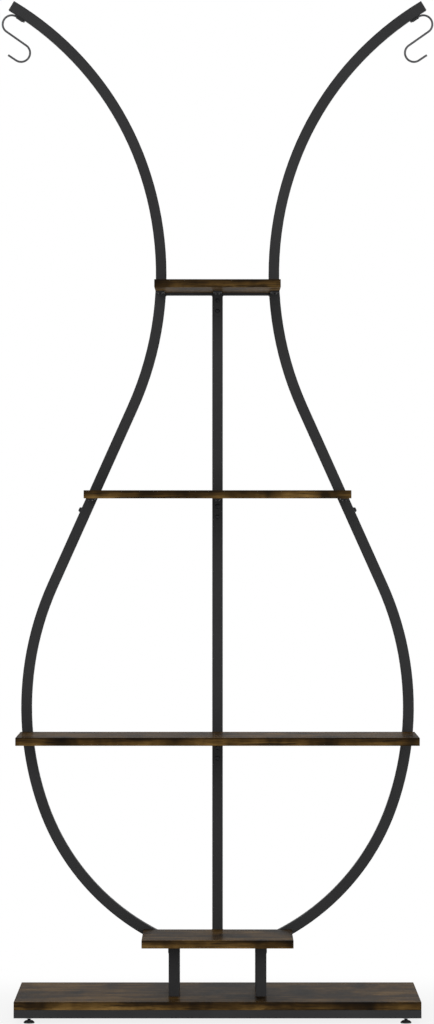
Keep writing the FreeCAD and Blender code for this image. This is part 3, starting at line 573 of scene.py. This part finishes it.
@dataclass(frozen=True)
class ZincPlatedSteel(Finish):
    """Turned and rolled steel with a bright zinc plating."""

    # To the eye: a cool light grey with a fine spangle, duller in patches.
    title: ClassVar[str] = "bright_zinc_plated_steel"
    platings: Stops = ((0.30, "#8d9092"), (0.70, "#c4c6c8"))
    haze_mm: float = 5.0
    spangle_mm: float = 1.2
    roughness: tuple[float, float] = (0.26, 0.42)

    def surface(self, tree: bpy.types.NodeTree) -> bpy.types.NodeSocket:
        """Add the plating with its haze and spangle.

        Args:
            tree: Node tree of the material.

        Returns:
            Output of the shader.
        """
        place = add_node(tree, "TexCoord", {}).outputs["Object"]
        spangle = add_node(tree, "TexVoronoi", {"Vector": place, "Scale": per_metre(self.spangle_mm)})
        haze = add_node(tree, "TexNoise", {
            "Vector": place, "Scale": per_metre(self.haze_mm), "Detail": 3.0,
        })
        colour = add_node(tree, "ValToRGB", {"Fac": haze.outputs[0]}, self.platings)
        smooth, rough = self.roughness
        gloss = add_node(tree, "MapRange", {"Value": spangle.outputs[0], "To Min": smooth, "To Max": rough})
        return add_node(tree, "BsdfPrincipled", {
            "Base Color": colour.outputs[0], "Roughness": gloss.outputs[0], "Metallic": 1.0,
        }).outputs[0]


@dataclass(frozen=True)
class MouldedPolypropylene(Finish):
    """Black polypropylene, injection-moulded in a spark-eroded mould."""

    # To the eye: the eroded mould leaves a fine pebble, so the black is matt with a slight waxy lift.
    title: ClassVar[str] = "matt_black_moulded_polypropylene"
    blacks: Stops = ((0.35, "#0f0f10"), (0.70, "#1d1d1e"))
    # About ninety clouds to the metre.
    cloud_mm: float = 1000 / 90
    # The pebble is about 0.15 mm. It is drawn at 0.7 mm so that it shows.
    pebble_mm: float = 0.7
    pebble_depth_mm: float = 0.05
    roughness: tuple[float, float] = (0.5, 0.65)

    def surface(self, tree: bpy.types.NodeTree) -> bpy.types.NodeSocket:
        """Add the clouded black and its pebble.

        Args:
            tree: Node tree of the material.

        Returns:
            Output of the shader.
        """
        place = add_node(tree, "TexCoord", {}).outputs["Object"]
        pebble = add_node(tree, "TexVoronoi", {"Vector": place, "Scale": per_metre(self.pebble_mm)})
        cloud = add_node(tree, "TexNoise", {
            "Vector": place, "Scale": per_metre(self.cloud_mm), "Detail": 2.0,
        })
        colour = add_node(tree, "ValToRGB", {"Fac": cloud.outputs[0]}, self.blacks)
        smooth, rough = self.roughness
        gloss = add_node(tree, "MapRange", {"Value": pebble.outputs[0], "To Min": smooth, "To Max": rough})
        bump = add_node(tree, "Bump", {
            "Height": pebble.outputs[0], "Strength": 0.15, "Distance": self.pebble_depth_mm * MM,
        })
        return add_node(tree, "BsdfPrincipled", {
            "Base Color": colour.outputs[0], "Roughness": gloss.outputs[0], "Normal": bump.outputs[0],
            "IOR": 1.49, "Specular IOR Level": 0.4,
        }).outputs[0]


@dataclass
class Finishes:
    """The stand's shared finishes, each built once."""

    coat: bpy.types.Material = field(default_factory=PowderCoatedSteel().make)
    wire: bpy.types.Material = field(default_factory=LacqueredWire().make)
    oxide: bpy.types.Material = field(default_factory=BlackOxideSteel().make)
    zinc: bpy.types.Material = field(default_factory=ZincPlatedSteel().make)
    plastic: bpy.types.Material = field(default_factory=MouldedPolypropylene().make)


# Sub-assemblies

@dataclass(frozen=True)
class WeldBead:
    """A weld bead along a joint, with the ripples that its pool leaves as it freezes."""

    half_width: float = 2.2
    height: float = 1.1
    ripple_pitch: float = 1.6
    ripple_depth: float = 0.16
    # Each ripple is a crescent: at the bead's sides it lies this share of a pitch away from its middle.
    crescent: float = 0.5
    points_round: int = 10
    rings_per_ripple: int = 4
    fewest_rings: int = 12
    # The ends taper, where the arc was struck and broken off.
    taper_power: int = 8
    blunt_end: float = 0.04

    def lay(self, mesh: bmesh.types.BMesh, start: Vector, end: Vector, outward: Vector) -> None:
        """Add the bead to a mesh, half of it sunk in the steel.

        Args:
            mesh: Mesh that takes the bead.
            start: One end of the joint, in millimetres.
            end: Its other end.
            outward: Direction away from the steel.
        """
        run = end - start
        up = outward.normalized()
        beside = run.normalized().cross(up)
        steps = max(self.fewest_rings, round(run.length / self.ripple_pitch * self.rings_per_ripple))
        rings = []
        for i in range(steps + 1):
            share = i / steps
            middle = start + run * share
            rings.append([
                middle + beside * wide + up * tall for wide, tall in self.section(share, run.length)
            ])
        skin(mesh, rings)

    def section(self, share: float, length: float) -> list[tuple[float, float]]:
        """Work out the bead's section at a place along it.

        Args:
            share: Share of the bead's length at which it is cut.
            length: The bead's length, in millimetres.

        Returns:
            How far each point lies beside the joint and above it, in millimetres.
        """
        ease = math.sqrt(max(self.blunt_end, 1 - abs(2 * share - 1) ** self.taper_power))
        points = []
        for k in range(self.points_round):
            angle = 2 * math.pi * k / self.points_round
            wide, tall = math.cos(angle), math.sin(angle)
            ripple = share * length / self.ripple_pitch + self.crescent * wide * wide
            swell = 1 + self.ripple_depth * math.sin(2 * math.pi * ripple)
            points.append((self.half_width * wide * ease, self.height * tall * ease * swell))
        return points


@dataclass
class VaseFrame:
    """Bent side tubes, centre post and crossbars, bolted at their seams and welded at their ends."""

    finishes: Finishes
    frame_y: float = 57.0
    neck_bar_z: float = 1359.5
    # Half the length of each crossbar, at its lower and its upper side.
    neck_bar_half: tuple[float, float] = (97.6, 96.7)
    bottom_bar_z: float = 140.0
    bottom_bar_half: tuple[float, float] = (119.65, 109.55)

    def build(self) -> None:
        """Dress the tubes, sleeves, caps and bolts, and weld the crossbars to the tubes and the post."""
        dress(
            self.finishes.coat,
            "right_upper_tube", "left_upper_tube", "right_lower_tube", "left_lower_tube",
            "upper_centre_post", "lower_centre_post", "neck_crossbar", "bottom_crossbar",
        )
        dress(self.finishes.zinc, "right_joint_sleeve", "left_joint_sleeve", "post_joint_sleeve")
        dress(self.finishes.plastic, "right_tip_cap", "left_tip_cap")
        dress(self.finishes.oxide, "side_joint_bolts")
        self.welds()

    def welds(self) -> bpy.types.Object:
        """Lay the beads at the crossbars' ends and at the ends of the centre post.

        Returns:
            The beads as one piece.
        """
        mesh = bmesh.new()
        bead = WeldBead()
        half = TUBE_HALF
        rear, front = self.frame_y + half, self.frame_y - half
        back = Vector((0, 1, 0))
        for side in Side:
            sign = side.value
            for height, (lower, upper) in (
                (self.neck_bar_z, self.neck_bar_half), (self.bottom_bar_z, self.bottom_bar_half),
            ):
                corner = Vector((sign * lower, rear, height - half))
                bead.lay(mesh, corner, Vector((sign * upper, rear, height + half)), back)
                under = Vector((-sign, 0, -1)) if height == self.neck_bar_z else Vector((0, 0, -1))
                bead.lay(mesh, Vector((sign * lower, front, height - half)), corner, under)
        # The post ends under the neck crossbar and on the bottom one.
        for height, lean in ((self.neck_bar_z - half, -1), (self.bottom_bar_z + half, 1)):
            bead.lay(mesh, Vector((-half, rear, height)), Vector((half, rear, height)), back)
            for side in Side:
                x = side.value * half
                aside = Vector((side.value, 0, lean))
                bead.lay(mesh, Vector((x, front, height)), Vector((x, rear, height)), aside)
        return new_piece("frame_weld_beads", mesh, "stand", self.finishes.coat)


@dataclass
class ShelfBoards:
    """Base board and stepped shelves, with the brackets and tabs that carry them."""

    finishes: Finishes
    frame_front: float = 47.0
    tab_weld_half: float = 7.5
    # Where on the roll of foil each board's stretch was cut.
    shifts: dict[str, tuple[float, float, float]] = field(default_factory=lambda: {
        "base_board": (310.0, 40.0, 12.0),
        "lower_shelf": (-1240.0, 520.0, 310.0),
        "belly_shelf": (2150.0, -730.0, 190.0),
        "mid_shelf": (-3890.0, 1410.0, -270.0),
        "neck_shelf": (5160.0, 930.0, 610.0),
    })

    def build(self) -> None:
        """Dress every board with its own stretch of the foil, then its brackets, tabs and screws."""
        for board, shift in self.shifts.items():
            dress(WoodGrainFoil(board, shift).make(), board)
        for tier in Tier:
            dress(self.finishes.coat, f"{tier.value}_bracket")
            dress(self.finishes.coat, *(f"{tier.value}_{side.label}_tab" for side in Side))
        dress(self.finishes.oxide, "shelf_screws", "bracket_screws", "lower_shelf_screws")
        self.tab_welds()

    def tab_welds(self) -> bpy.types.Object:
        """Lay a bead under each tab, where it meets the front of its side tube.

        Returns:
            The beads as one piece.
        """
        mesh = bmesh.new()
        bead = WeldBead(half_width=1.8, height=1.4)
        reach = Vector((self.tab_weld_half, 0, 0))
        for tier in Tier:
            for side in Side:
                low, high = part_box(f"{tier.value}_{side.label}_tab")
                root = Vector(((low.x + high.x) / 2 / MM, self.frame_front, low.z / MM))
                bead.lay(mesh, root - reach, root + reach, Vector((0, -1, -1)))
        return new_piece("tab_weld_beads", mesh, "stand", self.finishes.coat)


@dataclass
class Pedestal:
    """Four short posts and two rails that lift the lower shelf and the frame off the base."""

    finishes: Finishes
    post_x: float = 81.0
    post_y: float = 57.0
    rail_bottom: float = 117.5
    rail_top: float = 137.5
    bar_bottom: float = 130.0

    def build(self) -> None:
        """Dress the posts, rails, plates and bolts, and weld the rails and the crossbar to the posts."""
        dress(self.finishes.coat, *(f"{corner.label}_post" for corner in Corner))
        dress(self.finishes.coat, *(f"{side.label}_shelf_rail" for side in Side))
        dress(self.finishes.zinc, "post_nut_plates")
        dress(self.finishes.oxide, "post_bolts")
        self.welds()

    def welds(self) -> bpy.types.Object:
        """Lay the beads between posts and rails, and between the rear posts and the crossbar.

        Returns:
            The beads as one piece.
        """
        mesh = bmesh.new()
        bead = WeldBead()
        half = TUBE_HALF
        width = Vector((half, 0, 0))
        for corner in Corner:
            sign_x, sign_y = corner.value
            x, y = self.post_x * sign_x, self.post_y * sign_y
            at_rear = sign_y > 0
            inner = y - half * sign_y
            # At the rear, the crossbar covers the top of the joint between post and rail.
            top = self.bar_bottom if at_rear else self.rail_top
            for face in (-1, 1):
                edge = x + half * face
                foot, head = Vector((edge, inner, self.rail_bottom)), Vector((edge, inner, top))
                bead.lay(mesh, foot, head, Vector((face, 0, 0)))
            under = Vector((x, inner, self.rail_bottom))
            bead.lay(mesh, under - width, under + width, Vector((0, -sign_y, -1)))
            if at_rear:
                behind = Vector((x, y + half, self.bar_bottom))
                bead.lay(mesh, behind - width, behind + width, Vector((0, 1, 0)))
        return new_piece("pedestal_weld_beads", mesh, "stand", self.finishes.coat)


@dataclass
class BaseFrame:
    """Mitred flat-tube frame under the base board, with cross rails under the posts."""

    finishes: Finishes

    def build(self) -> None:
        """Dress the rails and the screws that hold the board to them."""
        dress(
            self.finishes.coat, "front_base_rail", "rear_base_rail", "right_base_rail", "left_base_rail",
            "right_cross_rail", "left_cross_rail",
        )
        dress(self.finishes.oxide, "base_screws")


@dataclass
class LevellingFeet:
    """Foot pads with threaded studs that turn in inserts in the base frame."""

    finishes: Finishes
    foot_x: float = 347.0
    foot_y: float = 137.5
    stud_bottom: float = 2.0
    chamfer: float = 0.4
    flats_bottom: float = 5.0
    flats_top: float = 8.0
    flat_half: float = 3.0
    stud_top: float = 25.0
    # Rings this far apart make the sharp steps at both ends of the flats.
    step_gap: float = 0.01
    crest: float = 4.0
    root: float = 3.39
    pitch: float = 1.25
    # Crest and root are each flat over this share of the pitch.
    land: float = 1 / 6
    points_round: int = 32
    rings_per_turn: int = 8

    def build(self) -> None:
        """Dress the pads and inserts, and replace each plain stud with a threaded one."""
        for corner in Corner:
            dress(self.finishes.plastic, f"{corner.label}_foot_pad")
            self.stud(corner)
        dress(self.finishes.zinc, "foot_inserts")

    def stud(self, corner: Corner) -> bpy.types.Object:
        """Cut a stud with spanner flats above the pad and a rolled thread above the flats.

        Args:
            corner: Corner of the base that the stud stands at.

        Returns:
            The stud that stands for the CAD node.
        """
        sign_x, sign_y = corner.value
        rings = []
        for height in self.ring_heights():
            ring = []
            for k in range(self.points_round):
                angle = 2 * math.pi * k / self.points_round
                radius = self.radius_at(height, angle)
                x = self.foot_x * sign_x + radius * math.cos(angle)
                y = self.foot_y * sign_y + radius * math.sin(angle)
                ring.append(Vector((x, y, height)))
            rings.append(ring)
        mesh = bmesh.new()
        skin(mesh, rings)
        name = f"{corner.label}_threaded_stud"
        stud = new_piece(name, mesh, f"{corner.label}_stud", self.finishes.oxide)
        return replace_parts(stud, f"{corner.label}_foot_stud")

    def ring_heights(self) -> list[float]:
        """List the heights of the stud's rings, closer together along the thread.

        Returns:
            Heights above the floor from the bottom up, in millimetres.
        """
        thread = self.stud_top - self.flats_top
        count = round(thread / self.pitch * self.rings_per_turn)
        return [
            self.stud_bottom, self.stud_bottom + self.chamfer,
            self.flats_bottom - self.step_gap, self.flats_bottom,
            self.flats_top, self.flats_top + self.step_gap,
            *(self.flats_top + thread * (i + 1) / count for i in range(count)),
        ]

    def radius_at(self, height: float, angle: float) -> float:
        """Work out the stud's radius at a height and an angle round it.

        Args:
            height: Height above the floor, in millimetres.
            angle: Angle from +X, in radians.

        Returns:
            Radius in millimetres.
        """
        if height == self.stud_bottom:
            return self.crest - self.chamfer
        if height < self.flats_bottom:
            return self.crest
        if height <= self.flats_top:
            # The flats face +X and -X. Elsewhere the full round is left.
            across = abs(math.cos(angle))
            return self.flat_half / across if across * self.crest > self.flat_half else self.crest
        # A right-hand thread climbs anticlockwise seen from above. It fades in over one pitch at each end.
        turn = (height / self.pitch - angle / (2 * math.pi)) % 1.0
        from_crest = abs(2 * turn - 1)
        ridge = min(1.0, max(0.0, (1 - self.land - from_crest) / (1 - 2 * self.land)))
        fade = min(1.0, (height - self.flats_top) / self.pitch, (self.stud_top - height) / self.pitch)
        return self.root + (self.crest - self.root) * ridge * max(0.0, fade)


@dataclass
class HangingHooks:
    """S-hooks whose tails turn in the saddles welded under the tips."""

    finishes: Finishes
    # Middle and axis of the right hook's tail in its saddle.
    tail: tuple[float, float, float] = (373.468, 57.0, 1872.361)
    swing_axis: tuple[float, float, float] = (0.83328, 0.0, 0.55285)
    # The saddle's legs meet the tube this far above the tail's axis, and this far aside of it.
    leg_rise: float = 2.3
    leg_half: float = 3.1
    weld_half: float = 6.5

    def build(self) -> None:
        """Dress the hooks and their saddles, and weld the saddles to the tubes."""
        for side in Side:
            dress(self.finishes.wire, f"{side.label}_s_hook")
            dress(self.finishes.coat, f"{side.label}_hook_saddle")
        self.saddle_welds()

    def saddle_welds(self) -> bpy.types.Object:
        """Lay a small bead along both legs of each saddle, where they meet the tube's underside.

        Returns:
            The beads as one piece.
        """
        mesh = bmesh.new()
        bead = WeldBead(half_width=0.9, height=0.8, ripple_pitch=1.1)
        x, y, z = self.tail
        for side in Side:
            sign = side.value
            along = Vector((sign * self.swing_axis[0], 0, self.swing_axis[2]))
            towards_tube = Vector((-sign * self.swing_axis[2], 0, self.swing_axis[0]))
            reach = along * self.weld_half
            for face in (-1, 1):
                aside = Vector((0, face, 0))
                root = Vector((sign * x, y, z)) + towards_tube * self.leg_rise + aside * self.leg_half
                bead.lay(mesh, root - reach, root + reach, aside - towards_tube)
        return new_piece("saddle_weld_beads", mesh, "stand", self.finishes.coat)


# Studio

@dataclass(frozen=True)
class Lamp:
    """A square soft lamp: its place and side in metres, and its power in watts."""

    name: str
    place: tuple[float, float, float]
    size: float
    power: float

    def hang(self, aim: tuple[float, float, float]) -> bpy.types.Object:
        """Hang the lamp in its place.

        Args:
            aim: Point that it faces.

        Returns:
            The lamp.
        """
        data = bpy.data.lights.new(self.name, "AREA")
        data.size, data.energy = self.size, self.power
        lamp = bpy.data.objects.new(self.name, data)
        bpy.context.scene.collection.objects.link(lamp)
        lamp.location = self.place
        lamp.rotation_euler = (Vector(aim) - Vector(self.place)).to_track_quat("-Z", "Y").to_euler()
        return lamp


@dataclass
class Studio:
    """Pale floor, soft light, white surroundings and a level camera far in front of the stand."""

    floor_radius: float = 14.0
    floor_sides: int = 96
    floor_colour: str = "#cececc"
    # Round the base, white makes up this share of the floor as it is seen, and further off all of it.
    footprint: tuple[float, float] = (0.375, 0.15)
    white_share: float = 0.84
    shadow_reach: float = 0.5
    sky_level: float = 0.75
    lamps: tuple[Lamp, ...] = (
        Lamp("key_light", (-2.6, -4.2, 2.9), 2.6, 74.0),
        Lamp("fill_light", (2.6, -4.2, 0.8), 2.2, 84.0),
        Lamp("rim_light", (0.8, 3.8, 3.2), 2.0, 30.0),
    )
    stand_middle: tuple[float, float, float] = (0.0, 0.0, 0.95)
    lens_mm: float = 139.6
    sensor_mm: float = 36.0
    camera_place: tuple[float, float, float] = (0.0, -7.45, 0.963)
    camera_shift: tuple[float, float] = (-0.0005, -0.0117)

    def build(self) -> None:
        """Set up everything round the stand."""
        bpy.context.scene.view_settings.view_transform = "Standard"
        self.floor()
        self.sky()
        for lamp in self.lamps:
            lamp.hang(self.stand_middle)
        self.camera()

    def sight(self, tree: bpy.types.NodeTree) -> bpy.types.NodeSocket:
        """Tell the rays that show the surroundings from the rays that light the stand.

        Args:
            tree: Node tree that takes the nodes.

        Returns:
            Socket that is 1 for camera, glossy and transmission rays.
        """
        rays = add_node(tree, "LightPath", {}).outputs
        direct = add_node(
            tree, "Math", {0: rays["Is Camera Ray"], 1: rays["Is Glossy Ray"]}, operation="MAXIMUM"
        )
        return add_node(
            tree, "Math", {0: direct.outputs[0], 1: rays["Is Transmission Ray"]}, operation="MAXIMUM"
        ).outputs[0]

    def floor_paint(self) -> bpy.types.Material:
        """Make a pale matt paint that is seen lighter near the base and as plain white away from it.

        Returns:
            The floor's material.
        """
        material = empty_material("pale_matt_studio_floor")
        tree = material.node_tree
        place = add_node(tree, "TexCoord", {}).outputs["Object"]
        aside = add_node(tree, "VectorMath", {0: place}, operation="ABSOLUTE")
        beyond = add_node(
            tree, "VectorMath", {0: aside.outputs[0], 1: (*self.footprint, 0.0)}, operation="SUBTRACT"
        )
        outside = add_node(
            tree, "VectorMath", {0: beyond.outputs[0], 1: (0.0, 0.0, 0.0)}, operation="MAXIMUM"
        )
        away = add_node(tree, "VectorMath", {0: outside.outputs[0]}, operation="LENGTH")
        share = add_node(tree, "MapRange", {
            "Value": away.outputs["Value"], "From Max": self.shadow_reach, "To Min": self.white_share,
        }, interpolation_type="SMOOTHSTEP")
        seen = add_node(tree, "Math", {0: self.sight(tree), 1: share.outputs[0]}, operation="MULTIPLY")
        paint = add_node(tree, "BsdfDiffuse", {"Color": linear(self.floor_colour)})
        white = add_node(tree, "Emission", {"Strength": 1.0})
        cover = add_node(tree, "MixShader", {0: seen.outputs[0], 1: paint.outputs[0], 2: white.outputs[0]})
        add_node(tree, "OutputMaterial", {"Surface": cover.outputs[0]})
        return material

    def floor(self) -> bpy.types.Object:
        """Lay a wide disc that keeps a light shadow round the base.

        Returns:
            The floor.
        """
        mesh = bmesh.new()
        bmesh.ops.create_circle(mesh, cap_ends=True, segments=self.floor_sides, radius=self.floor_radius)
        data = bpy.data.meshes.new("studio_floor")
        mesh.to_mesh(data)
        mesh.free()
        data.materials.append(self.floor_paint())
        floor = bpy.data.objects.new("studio_floor", data)
        bpy.context.scene.collection.objects.link(floor)
        return floor

    def sky(self) -> None:
        """Surround the stand with soft light that camera, glossy and transmission rays see as white."""
        world = bpy.data.worlds.new("white_surroundings")
        bpy.context.scene.world = world
        world.use_nodes = True
        tree = world.node_tree
        tree.nodes.clear()
        level = add_node(tree, "MapRange", {
            "Value": self.sight(tree), "To Min": self.sky_level, "To Max": 1.0,
        })
        light = add_node(tree, "Background", {"Color": (1.0, 1.0, 1.0, 1.0), "Strength": level.outputs[0]})
        add_node(tree, "OutputWorld", {"Surface": light.outputs[0]})

    def camera(self) -> bpy.types.Object:
        """Stand the camera level in front of the stand.

        Returns:
            The camera.
        """
        data = bpy.data.cameras.new("photo_camera")
        data.lens, data.sensor_width = self.lens_mm, self.sensor_mm
        data.shift_x, data.shift_y = self.camera_shift
        camera = bpy.data.objects.new("photo_camera", data)
        bpy.context.scene.collection.objects.link(camera)
        camera.location = self.camera_place
        camera.rotation_euler = (math.pi / 2, 0.0, 0.0)
        bpy.context.scene.camera = camera
        return camera


def main() -> None:
    """Build the studio and the stand's sub-assemblies in order."""
    logging.basicConfig(level=logging.INFO, format="%(name)s %(message)s")
    Studio().build()
    finishes = Finishes()
    for assembly in (VaseFrame, ShelfBoards, Pedestal, BaseFrame, LevellingFeet, HangingHooks):
        LOG.info("building %s", assembly.__name__)
        assembly(finishes).build()


if __name__ == "__main__":
    main()
